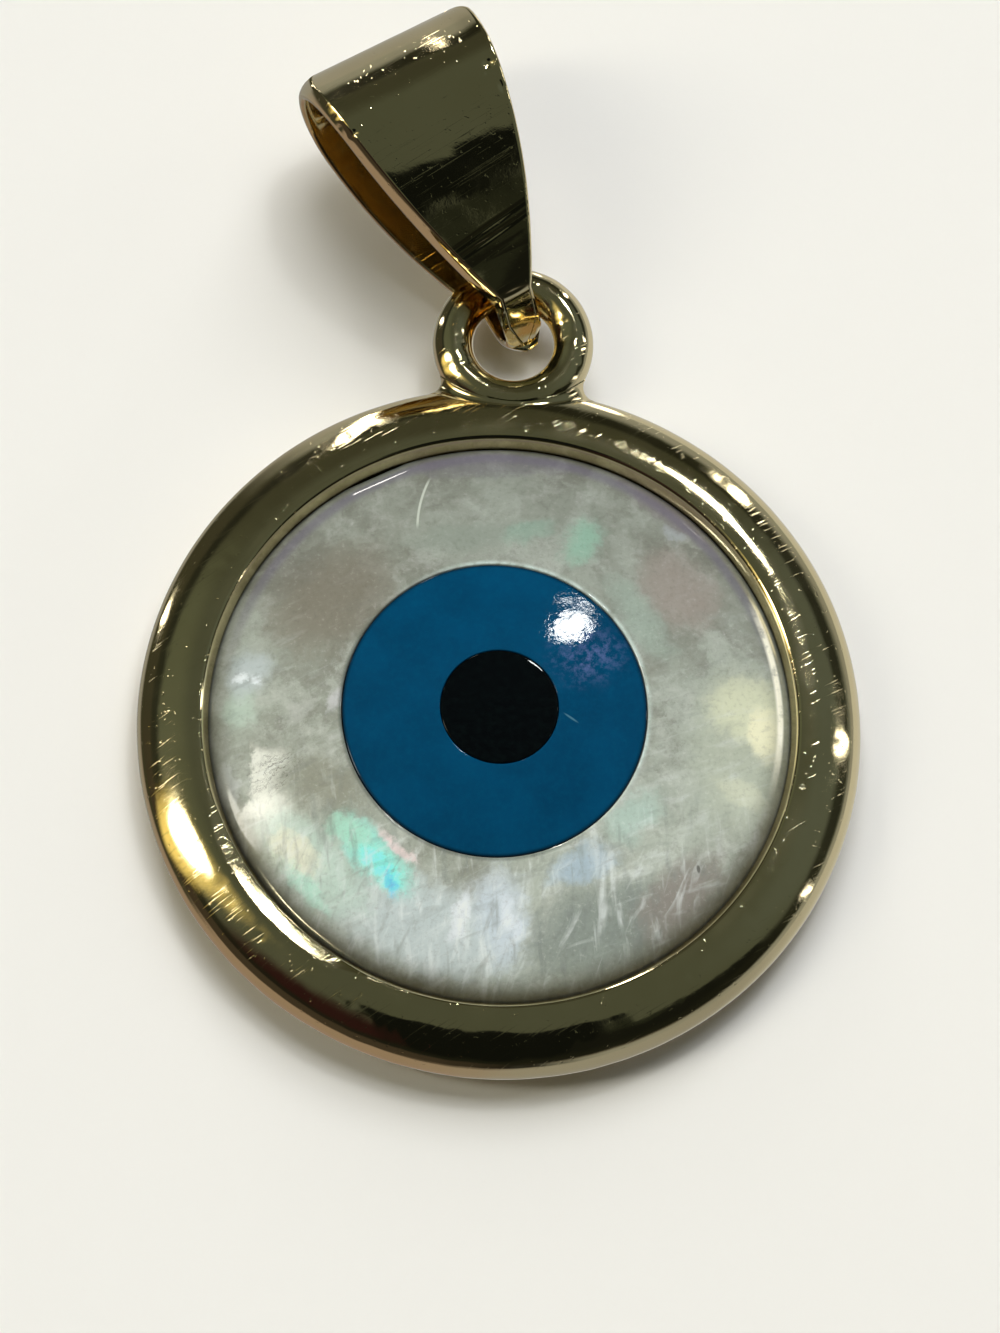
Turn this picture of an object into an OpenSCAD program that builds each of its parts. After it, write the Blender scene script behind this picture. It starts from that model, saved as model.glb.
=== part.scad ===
// Evil eye pendant: a domed mother-of-pearl disc with an inlaid blue iris and black pupil, set in a
// polished gold-plated bezel with a cast loop, and a tapered strip bail linked through that loop.
// Millimetres. The pendant lies on its back, the eye faces +Z and the loop points along +Y.
// The origin is the centre of the bezel's flat back.

/* [Stone] */
// Diameter of the mother-of-pearl disc
stone_d = 12.16; // [10:0.02:14]
// Height of the disc at the middle of its dome
stone_h = 1.7; // [1.4:0.05:2.2]
// Height of the disc's straight side
stone_side_h = 0.45; // [0.3:0.05:0.7]
// Radius of the rounded shoulder between side and dome
stone_shoulder_r = 0.3; // [0.15:0.05:0.4]

/* [Eye] */
// Diameter of the blue iris
iris_d = 6.3; // [5:0.1:8]
// Diameter of the black pupil
pupil_d = 2.45; // [1.5:0.05:4]
// How deep the inlays reach below the top of the dome
inlay_h = 0.9; // [0.6:0.05:1.1]
// How far the iris sits left of the disc's middle
iris_shift = 0.14; // [0:0.02:0.2]
// How far the pupil sits left of the disc's middle
pupil_shift = 0.05; // [0:0.01:0.1]
// Glue line round the iris and the pupil
inlay_gap = 0.02; // [0.01:0.01:0.05]

/* [Bezel] */
// Height of the rim's crown above the back
bezel_h = 1.5; // [1.4:0.05:2.2]
// Metal behind the stone
back_t = 0.5; // [0.4:0.05:0.6]
// Width of the rim from its crown out to its widest circle
rim_w = 1.2; // [1:0.05:1.6]
// Fall of the rim from its crown to its widest circle
rim_fall = 0.8; // [0.7:0.05:1]
// Radius of the rim's outer edge
rim_edge_r = 0.6; // [0.4:0.02:0.66]
// Radius of the rim's inner lip
lip_r = 0.17; // [0.1:0.01:0.25]
// Gap between the stone and its seat
seat_gap = 0.05; // [0.03:0.01:0.08]

/* [Loop] */
// Diameter of the loop's wire
wire_d = 0.87; // [0.7:0.01:1]
// Diameter of the loop's hole
loop_hole_d = 1.66; // [1.5:0.02:2.2]
// How far the wire reaches into the rim
loop_sink = 0.78; // [0.6:0.01:1]
// Height of the wire's centre above the back
loop_z = 0.98; // [0.9:0.01:1.1]

/* [Bail] */
// Length of the bail, from the bend in the loop to its top
bail_l = 7.2; // [6:0.1:9]
// Thickness of the bail's strip
strip_t = 0.42; // [0.35:0.01:0.5]
// Play between the wire and the strip above and below it
wire_play = 0.06; // [0.04:0.01:0.12]
// Radius of the bail's top bend, outside
top_bend_r = 1.8; // [1.4:0.05:2]
// How far each leaf bows out past the straight line between its bends
leaf_bow = 0.25; // [0.16:0.01:0.35]
// Width of the strip at the top
top_w = 3.9; // [3:0.05:5]
// Width of the strip at its neck
neck_w = 0.84; // [0.7:0.02:1]
// Length of the neck, from the bend to where the strip starts to widen
neck_l = 1.15; // [1:0.05:1.6]
// How far each side edge bows out past a straight taper
edge_bow = 0.27; // [0.1:0.01:0.4]
// Radius of the strip's top corners
corner_r = 0.25; // [0.1:0.05:0.4]
// Free length between the loop's wire and the inside of the bend
bail_slack = 0.66; // [0.3:0.02:0.9]

/* [How the bail lies] */
// Degrees left of the loop's top at which the bail crosses the wire
bail_crossing = 17; // [5:1:25]
// Degrees by which the bail leans to the left
bail_lean = 30.4; // [10:0.1:40]
// Degrees by which its top is raised
bail_pitch = 16; // [13:0.5:18]
// Degrees by which its left side is raised
bail_roll = 0.5; // [0:0.1:6]

/* [Hidden] */
$fn = 96;
long_arc_fn = 720;
overlap = 1;
ground_gap = 0.005;

seat_r = stone_d / 2 + seat_gap;
crown_r = seat_r + lip_r;
bezel_r = crown_r + rim_w;
girth_z = bezel_h - rim_fall;
stone_z = back_t + seat_gap;
inlay_z = stone_z + stone_h - inlay_h;

wire_r = wire_d / 2;
loop_r = loop_hole_d / 2 + wire_r;
loop_y = bezel_r + loop_r + wire_r - loop_sink;

tip_bend_r = wire_r + wire_play + strip_t;
leaf_span = bail_l - tip_bend_r - top_bend_r;
leaf_r = arc_radius(norm([leaf_span, top_bend_r - tip_bend_r]), leaf_bow);
edge_run = bail_l - corner_r - neck_l;
edge_rise = (top_w - neck_w) / 2;
edge_r = arc_radius(norm([edge_run, edge_rise]), edge_bow);

// The bail's own axes: x across the strip, y from the bend to the top, z from back leaf to front leaf.
// down_y and down_z say how the ground lies in them, low_y where along the bail it touches.
along_ground = cos(bail_pitch);
down_x = sin(bail_roll) * along_ground;
down_y = -sin(bail_pitch);
down_z = -along_ground * cos(bail_roll);
leaf_mid = leaf_centre();
low_y = leaf_mid[0] + leaf_r * down_y / norm([down_y, down_z]);
low_x = edge_width(low_y);
bail_drop = leaf_mid[0] * down_y - leaf_mid[1] * down_z + leaf_r * norm([down_y, down_z])
    + low_x * down_x + ground_gap;
hang_l = strip_t + bail_slack + wire_r;
hang_x = -loop_r * sin(bail_crossing) + hang_l * along_ground * sin(bail_lean);
hang_y = loop_y + loop_r * cos(bail_crossing) - hang_l * along_ground * cos(bail_lean);

// Radius of the arc over a chord with the given rise at its middle
function arc_radius(chord, rise) = (chord * chord / 4 + rise * rise) / (2 * rise);

// Radius of the arc that starts level at a crown and falls, over a run, into a corner of a given radius
function crown_radius(run, fall, corner) =
    ((run - corner) * (run - corner) + fall * fall - corner * corner) / (2 * (fall - corner));

// Centre of the front leaf's arc, along and across the bail, from the circles of both bends
function leaf_centre() =
    let (tip = leaf_r - tip_bend_r, top = leaf_r - top_bend_r,
         along = (tip * tip - top * top + leaf_span * leaf_span) / (2 * leaf_span))
    [tip_bend_r + along, -sqrt(tip * tip - along * along)];

// Centre of the side edge's arc through the neck's end and the top corner, on the strip's left half
function edge_centre() =
    let (middle = [neck_l + edge_run / 2, (neck_w + top_w) / 4], chord = norm([edge_run, edge_rise]),
         back = edge_r - edge_bow)
    [middle[0] + back * edge_rise / chord, middle[1] - back * edge_run / chord];

// Half the strip's width at a place along the bail
function edge_width(y) =
    let (centre = edge_centre())
    centre[1] + sqrt(edge_r * edge_r - (y - centre[0]) * (y - centre[0]));

// Quarter outline with a level crown at the top left and an upright side at the bottom right
module crowned(run, fall, corner) {
    arc_r = crown_radius(run, fall, corner);
    centre = [0, fall - arc_r];
    reach = [run - corner, 0] - centre;
    seam = centre + reach * (arc_r / norm(reach));
    intersection() {
        translate(centre) circle(arc_r, $fn = long_arc_fn);
        polygon([[-overlap, 0], [-overlap, fall + overlap], seam + [0, overlap], seam, [run - corner, 0]]);
        translate([-overlap, 0]) square([run + overlap, fall]);
    }
    intersection() {
        translate([run - corner, 0]) circle(corner);
        polygon([[run - corner, 0], seam, seam + [corner, corner], [run + corner, 0]]);
    }
}

// Section of the rim: crowned face outside, round girth, rounded inner lip, flat back
module rim_section() {
    difference() {
        union() {
            translate([crown_r, girth_z]) intersection() {
                crowned(rim_w, rim_fall, rim_edge_r);
                square([rim_w, rim_fall]);
            }
            translate([bezel_r - girth_z, girth_z]) intersection() {
                circle(girth_z);
                translate([-overlap, -girth_z]) square([girth_z + overlap, girth_z]);
            }
            square([bezel_r - girth_z, girth_z]);
            translate([seat_r, girth_z]) square([lip_r, rim_fall - lip_r]);
            translate([crown_r, bezel_h - lip_r]) intersection() {
                circle(lip_r);
                translate([-lip_r, -overlap]) square([lip_r, lip_r + overlap]);
            }
        }
        translate([-overlap, back_t]) square([seat_r + overlap, bezel_h]);
    }
}

module loop() {
    translate([0, loop_y, loop_z]) rotate_extrude() translate([loop_r, 0]) circle(wire_r);
}

module seat_space() {
    translate([0, 0, back_t]) cylinder(r = seat_r, h = bezel_h);
}

module bezel() {
    color("darkgoldenrod") difference() {
        union() {
            rotate_extrude() rim_section();
            loop();
        }
        seat_space();
    }
}

// The whole dome of the eye, before it is parted into disc, iris and pupil
module dome() {
    translate([0, 0, stone_z]) rotate_extrude() {
        square([stone_d / 2, stone_side_h]);
        translate([0, stone_side_h]) intersection() {
            crowned(stone_d / 2, stone_h - stone_side_h, stone_shoulder_r);
            square([stone_d, stone_h]);
        }
    }
}

module iris_space(d) {
    translate([-iris_shift, 0, inlay_z]) cylinder(d = d, h = stone_h);
}

module pupil_space(d) {
    translate([-pupil_shift, 0, inlay_z]) cylinder(d = d, h = stone_h);
}

module shell_disc() {
    color("gainsboro") difference() {
        dome();
        iris_space(iris_d);
    }
}

module iris() {
    color("steelblue") intersection() {
        dome();
        difference() {
            translate([0, 0, inlay_gap]) iris_space(iris_d - 2 * inlay_gap);
            pupil_space(pupil_d);
        }
    }
}

module pupil() {
    color("black") intersection() {
        dome();
        translate([0, 0, inlay_gap]) pupil_space(pupil_d - 2 * inlay_gap);
    }
}

// Side view of the bail: two bends joined by bowed leaves, drawn in from its outside by a wall
module side_view(wall) {
    mid = leaf_mid;
    translate([tip_bend_r, 0]) circle(tip_bend_r - wall);
    translate([bail_l - top_bend_r, 0]) circle(top_bend_r - wall);
    intersection() {
        translate(mid) circle(leaf_r - wall, $fn = long_arc_fn);
        translate([mid[0], -mid[1]]) circle(leaf_r - wall, $fn = long_arc_fn);
        translate([tip_bend_r, -bail_l]) square([leaf_span, 2 * bail_l]);
    }
}

// Front view of the strip: round-ended neck that widens in two bowed edges to the top corners
module front_view() {
    centre = edge_centre();
    translate([neck_w / 2, 0]) circle(d = neck_w);
    translate([neck_w / 2, -neck_w / 2]) square([neck_l, neck_w]);
    intersection() {
        translate(centre) circle(edge_r, $fn = long_arc_fn);
        translate([centre[0], -centre[1]]) circle(edge_r, $fn = long_arc_fn);
        translate([neck_l, -bail_l]) square([edge_run, 2 * bail_l]);
    }
    for (side = [-1, 1])
        translate([bail_l - corner_r, side * (top_w / 2 - corner_r)]) circle(corner_r);
    translate([bail_l - 2 * corner_r, corner_r - top_w / 2]) square([2 * corner_r, top_w - 2 * corner_r]);
}

// The bail in its own axes
module strip() {
    intersection() {
        rotate([90, 0, 90]) translate([0, 0, -top_w]) linear_extrude(2 * top_w) difference() {
            side_view(0);
            side_view(strip_t);
        }
        rotate(90) translate([0, 0, -bail_l]) linear_extrude(2 * bail_l) front_view();
    }
}

module bail() {
    color("goldenrod") translate([hang_x, hang_y, bail_drop])
        rotate([0, 0, bail_lean]) rotate([bail_pitch, 0, 0]) rotate([0, bail_roll, 0]) strip();
}

bezel();
shell_disc();
iris();
pupil();
bail();
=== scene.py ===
"""Evil eye pendant lying on its back: a domed mother-of-pearl disc with an inlaid blue iris and black
pupil, a polished gold-plated bezel with a cast loop, and a bent strip bail hanging in that loop.

Sizes are in millimetres, as in the CAD source, and become metres when a mesh is made. The origin is the
centre of the bezel's flat back, the eye faces +Z and the loop points along +Y."""

import bpy
import numpy as np
from mathutils import Matrix, Vector


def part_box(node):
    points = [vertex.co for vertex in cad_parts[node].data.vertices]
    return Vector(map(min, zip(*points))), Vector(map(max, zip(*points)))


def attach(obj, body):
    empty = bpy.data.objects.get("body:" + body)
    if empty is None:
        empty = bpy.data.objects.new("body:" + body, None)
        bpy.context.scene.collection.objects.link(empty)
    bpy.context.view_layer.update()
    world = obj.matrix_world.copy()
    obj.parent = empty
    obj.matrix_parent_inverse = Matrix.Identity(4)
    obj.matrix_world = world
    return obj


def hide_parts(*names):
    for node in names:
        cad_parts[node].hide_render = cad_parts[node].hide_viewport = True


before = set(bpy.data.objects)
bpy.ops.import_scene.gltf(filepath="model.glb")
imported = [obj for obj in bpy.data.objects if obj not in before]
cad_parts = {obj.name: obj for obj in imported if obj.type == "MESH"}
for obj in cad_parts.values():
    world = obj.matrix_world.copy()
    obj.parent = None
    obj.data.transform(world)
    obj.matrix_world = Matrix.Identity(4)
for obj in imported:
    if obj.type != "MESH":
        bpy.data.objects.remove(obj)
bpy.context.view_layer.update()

MM = 0.001
TURN = 2 * np.pi
FLOOR_HALF = 1.5
# A half size in millimetres so large that height doesn't count
ANY_HEIGHT = 1e6

# Stone and inlays
STONE_R = 6.06
STONE_H = 1.7
STONE_SIDE_H = 0.342
STONE_SHOULDER_R = 0.45
IRIS_R = 3.15
PUPIL_R = 1.225
INLAY_H = 0.9
IRIS_X = -0.14
PUPIL_X = -0.05
INLAY_GAP = 0.02
INLAY_EASE = 0.006
STONE_STEPS = 360
INLAY_COAT = 1.33
POLISH = 0.03

# Bezel
BEZEL_H = 1.5
BACK_T = 0.5
RIM_W = 1.2
RIM_FALL = 0.8
RIM_EDGE_R = 0.6
LIP_TILT = 7
LIP_FACE_R = 0.5
LIP_R = 0.16
LIP_END_TILT = 68
LIP_END_Z = 1.16
SEAT_GAP = 0.05
SEAT_R = 6.13
CROWN_R = SEAT_R + 0.17
BEZEL_R = CROWN_R + RIM_W
GIRTH_Z = BEZEL_H - RIM_FALL
SEAT_CORNER_R = 0.02
HUB_R = 0.3
RIM_STEPS = 800
STONE_Z = BACK_T + SEAT_GAP
INLAY_Z = STONE_Z + STONE_H - INLAY_H

# Loop
WIRE_R = 0.435
LOOP_R = 0.83 + WIRE_R
LOOP_Z = 0.98
LOOP_Y = BEZEL_R + LOOP_R + WIRE_R - 0.78
SOLDER_R = 0.26
# Where the wire enters the rim, and the directions along the corner between them, out of and down it
SOLDER_FRAME = ((0, 7.2, 0.9), (0, 0.73, 0.683), (0, 0.683, -0.73))

# Bail, in its own axes: x across the strip, y from the bend to the top, z from back leaf to front leaf
BAIL_L = 7.2
STRIP_T = 0.42
TIP_BEND_R = WIRE_R + 0.06 + STRIP_T
TOP_BEND_R = 1.8
LEAF_BOW = 0.25
TOP_W = 3.9
NECK_W = 0.84
NECK_L = 1.15
EDGE_BOW = 0.27
CORNER_R = 0.25
BAIL_SLACK = 0.66
BAIL_CROSSING = np.radians(17)
BAIL_LEAN = np.radians(30.4)
BAIL_PITCH = np.radians(16)
BAIL_ROLL = np.radians(0.5)
STRIP_EDGE_R = 0.07
LEAF_ROLL = np.radians(4.6)
LEAF_EASE = 0.07
TIP_L = 1.34
TIP_FALL_R = 0.9
TIP_THIN = 0.10
TIP_CUT_TILT = 48
TIP_CUT_AT = (1.0, 0.89)
TIP_CUT_BLEND = 0.02
BEVEL_W = 0.18
BEVEL_H = 0.26
BEVEL_STRAIGHT = 0.75

# Where the dome's crown lies, and the distances between which the dome becomes true to the disc again
CROWN_AT = np.array([-0.30, 0.24])
CROWN_KEPT, CROWN_GONE = 3.5, 5.5

# A small flat ground into the stone's shoulder: direction and reach
FACET_AT = np.radians(117.5)
FACET_REACH = np.radians(6.5)

# A flatter face of the lip at the lower left: distance from the axis, height, tilt, bend, and its direction
# and reach in degrees
FLAT_R = 6.40
FLAT_Z = 1.468
FLAT_TILT = 9
FLAT_BEND = 4
FLAT_AT = 222
FLAT_REACH = 26
FLAT_RISE = 0.12
FLAT_BLEND = 0.004


def placed(name, data):
    """A new object in the scene."""
    made = bpy.data.objects.new(name, data)
    bpy.context.collection.objects.link(made)
    return made


def skin(name, grid, tube=False):
    """A closed mesh over a grid of points in millimetres, shaped (rows, columns, 3), whose columns close
    on themselves. With tube the rows close too, otherwise fans round their mean points close the first and
    the last. The sign of the volume tells which way the faces are turned."""
    rows, cols = grid.shape[:2]
    points = grid.reshape(-1, 3)
    number = np.arange(rows * cols).reshape(rows, cols)
    beside = np.roll(number, -1, 1)
    quads = np.stack([number, beside, np.roll(beside, -1, 0), np.roll(number, -1, 0)], -1)
    fans = np.zeros((0, 3), int)
    if not tube:
        quads = quads[:-1]
        points = np.vstack([points, grid[0].mean(0), grid[-1].mean(0)])
        first, last = np.full(cols, rows * cols), np.full(cols, rows * cols + 1)
        fans = np.vstack([np.stack([first, beside[0], number[0]], -1),
                          np.stack([last, number[-1], beside[-1]], -1)])
    quads = quads.reshape(-1, 4)
    corners = points[np.vstack([quads[:, [0, 1, 2]], quads[:, [0, 2, 3]], fans])]
    if np.einsum("ij,ij->i", corners[:, 0], np.cross(corners[:, 1], corners[:, 2])).sum() < 0:
        quads, fans = quads[:, ::-1], fans[:, ::-1]
    mesh = bpy.data.meshes.new(name)
    mesh.from_pydata((points * MM).tolist(), [], quads.tolist() + fans.tolist())
    mesh.polygons.foreach_set("use_smooth", np.ones(len(mesh.polygons), bool))
    mesh.update()
    return placed(name, mesh)


def round_about(steps):
    """Angles of a whole turn in even steps."""
    return np.linspace(0, TURN, steps, endpoint=False)


def arc(centre, radius, start, end, steps):
    """Points of a circle's arc in a plane, between two angles in degrees."""
    angle = np.radians(np.linspace(start, end, steps))
    return np.stack([centre[0] + radius * np.cos(angle), centre[1] + radius * np.sin(angle)], -1)


def line(start, end, steps):
    """Points of a straight line in a plane, without its ends."""
    return np.linspace(start, end, steps + 2)[1:-1]


def crown_radius(run, fall, corner):
    """Radius of the arc that starts level and falls, over a run, into a corner of a given radius."""
    return ((run - corner) ** 2 + fall ** 2 - corner ** 2) / (2 * (fall - corner))


def arc_radius(chord, rise):
    """Radius of the arc over a chord with the given rise at its middle."""
    return (chord ** 2 / 4 + rise ** 2) / (2 * rise)


def ripple(points, wave, depth, seed):
    """A gentle unevenness over points: the mean of seven sine waves of about one wavelength, in directions
    and phases drawn from a seeded generator, times a depth."""
    draw = np.random.default_rng(seed)
    way = draw.normal(size=(7, 3))
    way /= np.linalg.norm(way, axis=1)[:, None]
    turns = points @ (way / (wave * draw.uniform(0.7, 1.5, 7)[:, None])).T
    return depth * np.sin(TURN * (turns + draw.uniform(size=7))).mean(-1)


def turned(profile, steps, shift=0.0):
    """A profile of radius and height turned round the Z axis, each of its points shifted along X."""
    angle = round_about(steps)
    radius, height = profile[:, :1], profile[:, 1:]
    return np.stack([radius * np.cos(angle) + shift, radius * np.sin(angle), height + 0 * angle], -1)


def dome_z(x, y):
    """Height of the eye's dome: a level crown, a little off the middle, that falls to the shoulder."""
    crown = crown_radius(STONE_R, STONE_H - STONE_SIDE_H, STONE_SHOULDER_R)
    far = np.hypot(x, y)
    share = np.clip((far - CROWN_KEPT) / (CROWN_GONE - CROWN_KEPT), 0, 1)
    still = 1 - share ** 2 * (3 - 2 * share)
    radius = np.hypot(x - CROWN_AT[0] * still, y - CROWN_AT[1] * still)
    return STONE_Z + STONE_H - crown + np.sqrt(crown ** 2 - radius ** 2)


def uneven(grid, normal, waves, share):
    """Points pushed inwards along their normals by a share of ripples, so that no point comes out past
    the true surface."""
    push = sum(ripple(grid, *wave) - wave[1] for wave in waves)
    return grid + (push * share)[..., None] * normal


def dented(grid, normal, dents):
    """Points pushed in along their normals by round dents: place, radius and depth in millimetres."""
    for *middle, size, depth in dents:
        far = ((grid - middle) ** 2).sum(-1) / size ** 2
        grid = grid - (depth * np.exp(-far))[..., None] * normal
    return grid


def make_bezel():
    """The rim's section turned round the axis: seat floor, inner wall, folded lip, crowned face, rounded
    girth and flat back. The polished faces are uneven, but not at the loop's foot, and have small dents."""
    crown = crown_radius(RIM_W, RIM_FALL, RIM_EDGE_R)
    edge = np.array([CROWN_R + RIM_W - RIM_EDGE_R, GIRTH_Z])
    seam = 90 - np.degrees(np.arctan2(RIM_W - RIM_EDGE_R, crown - RIM_FALL))
    fold = np.radians(LIP_TILT)
    lip_top = np.array([CROWN_R - LIP_FACE_R * np.sin(fold), BEZEL_H - LIP_FACE_R * (1 - np.cos(fold))])
    lip = lip_top + LIP_R * np.array([np.sin(fold), -np.cos(fold)])
    steep = np.radians(LIP_END_TILT)
    lip_end = lip + LIP_R * np.array([-np.sin(steep), np.cos(steep)])
    lip_foot = np.array([lip_end[0] - (lip_end[1] - LIP_END_Z) / np.tan(steep), LIP_END_Z])
    profile = np.vstack([
        line((HUB_R, BACK_T), (SEAT_R - SEAT_CORNER_R, BACK_T), 5),
        arc((SEAT_R - SEAT_CORNER_R, BACK_T + SEAT_CORNER_R), SEAT_CORNER_R, -90, 0, 3),
        line((SEAT_R, BACK_T + SEAT_CORNER_R), (SEAT_R, LIP_END_Z - 0.12), 4),
        line((SEAT_R, LIP_END_Z - 0.1), lip_foot, 2), [lip_foot],
        line(lip_foot, lip_end, 4),
        arc(lip, LIP_R, 90 + LIP_END_TILT, 90 + LIP_TILT, 14),
        arc((CROWN_R, BEZEL_H - LIP_FACE_R), LIP_FACE_R, 90 + LIP_TILT, 90, 8)[1:],
        arc((CROWN_R, BEZEL_H - crown), crown, 90, seam, 30)[1:],
        arc(edge, RIM_EDGE_R, seam, 0, 22)[1:],
        arc((BEZEL_R - GIRTH_Z, GIRTH_Z), GIRTH_Z, 0, -90, 22)[1:],
        line((BEZEL_R - GIRTH_Z, 0), (HUB_R, 0), 8),
    ])
    along = np.roll(profile, -1, 0) - np.roll(profile, 1, 0)
    along[0], along[-1] = profile[1] - profile[0], profile[-1] - profile[-2]
    side = np.stack([-along[:, 1], along[:, 0]], -1) / np.linalg.norm(along, axis=1)[:, None]
    grid, normal = turned(profile, RIM_STEPS), turned(side, RIM_STEPS)
    radius = np.hypot(grid[..., 0], grid[..., 1])
    polished = np.clip((radius - CROWN_R + 0.12) / 0.1, 0, 1) * np.clip((grid[..., 2] - 0.2) / 0.3, 0, 1)
    polished *= np.clip((wire_gap(grid) - 0.05) / 0.4, 0, 1)
    angle = np.degrees(np.arctan2(grid[..., 1], grid[..., 0])) % 360
    rough_side = 1 + 1.3 * np.exp(-((angle - 262) / 34) ** 2)
    hammered = 0.15 + np.exp(-((angle - 268) / 26) ** 2)
    grid = uneven(grid, normal, RIM_WAVES, polished * rough_side)
    grid = uneven(grid, normal, RIM_HAMMERING, polished * hammered)
    flat = FLAT_Z + np.tan(np.radians(FLAT_TILT)) * (radius - FLAT_R) - (radius - FLAT_R) ** 2 / (2 * FLAT_BEND)
    flat += FLAT_RISE * (1 - np.exp(-((angle - FLAT_AT) / FLAT_REACH) ** 4))
    over = (grid[..., 2] - flat) / FLAT_BLEND
    on_lip = (grid[..., 2] > GIRTH_Z) & (radius < CROWN_R + 0.6)
    grid[..., 2] -= np.where(on_lip, FLAT_BLEND * np.logaddexp(0, np.clip(over, -30, 60)), 0)
    return skin("bezel_rim", dented(grid, normal, RIM_DENTS + small_marks(70, 31)))


def small_marks(count, seed):
    """Places, radii and depths of small marks scattered over the rim's face by a seeded generator."""
    draw = np.random.default_rng(seed)
    angle, out = draw.uniform(0, TURN, count), draw.uniform(CROWN_R, CROWN_R + 0.85, count)
    size, depth = draw.uniform(0.08, 0.16, count), draw.uniform(0.001, 0.006, count)
    return np.stack([out * np.cos(angle), out * np.sin(angle), 0 * out + 1.4, size, depth], -1).tolist()


def wire_gap(place):
    """Distance from the surface of the loop's wire, negative inside it."""
    ring = np.hypot(place[..., 0], place[..., 1] - LOOP_Y) - LOOP_R
    return np.hypot(ring, place[..., 2] - LOOP_Z) - WIRE_R


def rim_gap(place):
    """Distance from the rim's outer side, negative inside it: the crown's arc, the edge's and the girth's."""
    out, up = np.hypot(place[..., 0], place[..., 1]), place[..., 2] - GIRTH_Z
    crown = crown_radius(RIM_W, RIM_FALL, RIM_EDGE_R)
    face = np.hypot(out - CROWN_R, up - RIM_FALL + crown) - crown
    edge = np.hypot(out - BEZEL_R + RIM_EDGE_R, up) - RIM_EDGE_R
    girth = np.hypot(out - BEZEL_R + GIRTH_Z, up) - GIRTH_Z
    flatter = (out - BEZEL_R + RIM_EDGE_R) * (crown - RIM_FALL) < up * (RIM_W - RIM_EDGE_R)
    return np.where(up < 0, girth, np.where(flatter, face, edge))


def slope(gap, place, step=1e-4):
    """Direction in which a gap grows fastest, from small steps to both sides along each axis."""
    sides = [gap(place + step * axis) - gap(place - step * axis) for axis in np.eye(3)]
    steep = np.stack(sides, -1)
    return steep / np.linalg.norm(steep, axis=-1, keepdims=True)


def make_loop():
    """A ring of round wire: a circle carried round a larger circle, a little uneven away from its foot."""
    around = round_about(300)[:, None]
    across = round_about(72)[None, :]
    level = np.cos(across)
    out = np.stack([level * np.cos(around), level * np.sin(around), np.sin(across) + 0 * around], -1)
    grid = WIRE_R * out
    grid[..., 0] += LOOP_R * np.cos(around)
    grid[..., 1] += LOOP_Y + LOOP_R * np.sin(around)
    grid[..., 2] += LOOP_Z
    grid = uneven(grid, out, LOOP_WAVES, np.clip((rim_gap(grid) - 0.05) / 0.5, 0, 1))
    draw = np.random.default_rng(12)
    turn, rise = draw.uniform(-0.9, np.pi + 0.9, 26), draw.uniform(0.25, 0.8, 26) * np.pi
    far = LOOP_R + WIRE_R * np.cos(rise)
    marks = [far * np.cos(turn), LOOP_Y + far * np.sin(turn), LOOP_Z + WIRE_R * np.sin(rise),
             draw.uniform(0.06, 0.13, 26), draw.uniform(0.004, 0.014, 26)]
    return skin("loop", dented(grid, out, np.stack(marks, -1).tolist()), tube=True)


def make_solder():
    """The hollow fillet of solder round the loop's foot. A ball rolls in the corner between wire and rim:
    in each direction its centre is where both gaps equal its radius, found by Newton's steps while it
    grows. The fillet is the ball's arc between its touching points, closed by a ridge inside the metal."""
    foot, up, down = (np.array(row) for row in SOLDER_FRAME)
    turn = round_about(300)
    away = np.cos(turn)[:, None] * [1, 0, 0] + np.sin(turn)[:, None] * down
    out = np.linspace(0.02, 1.9, 260)
    low, high = np.full((len(turn), len(out)), -1.3), np.full((len(turn), len(out)), 1.3)
    ray = foot + away[:, None] * out[:, None]
    for _ in range(30):
        middle = (low + high) / 2
        inside = rim_gap(ray + middle[..., None] * up) < 0
        low, high = np.where(inside, middle, low), np.where(inside, high, middle)
    first = (wire_gap(ray + low[..., None] * up) > 0).argmax(1)
    a, b = out[first], low[np.arange(len(turn)), first]
    size = SOLDER_R * (0.75 + 0.35 * np.abs(np.cos(turn)) ** 3 + 0.12 * np.sin(3 * turn + 1))
    for share in np.linspace(0.1, 1, 10):
        for _ in range(4):
            centre = foot + away * a[:, None] + up * b[:, None]
            wire, rim = slope(wire_gap, centre), slope(rim_gap, centre)
            grid = np.array([[(wire * away).sum(1), wire @ up], [(rim * away).sum(1), rim @ up]])
            miss = np.array([wire_gap(centre), rim_gap(centre)]) - size * share
            area = grid[0, 0] * grid[1, 1] - grid[0, 1] * grid[1, 0]
            a = a - (miss[0] * grid[1, 1] - miss[1] * grid[0, 1]) / area
            b = b - (miss[1] * grid[0, 0] - miss[0] * grid[1, 0]) / area
    centre = foot + away * a[:, None] + up * b[:, None]
    wire, rim = -slope(wire_gap, centre), -slope(rim_gap, centre)
    bend = np.arccos(np.clip((wire * rim).sum(1), -1, 1))[None, :, None]
    share = np.linspace(0, 1, 15)[:, None, None]
    arcs = (np.sin((1 - share) * bend) * wire + np.sin(share * bend) * rim) / np.sin(bend)
    face = centre + arcs * (size[:, None] + 0.0015)
    ridge = centre + arcs[7] * (size[:, None] / np.cos(bend[0] / 2) + 0.06)
    grid = np.concatenate([face, ridge[None]])
    return skin("loop_solder", grid, tube=True)


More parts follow.
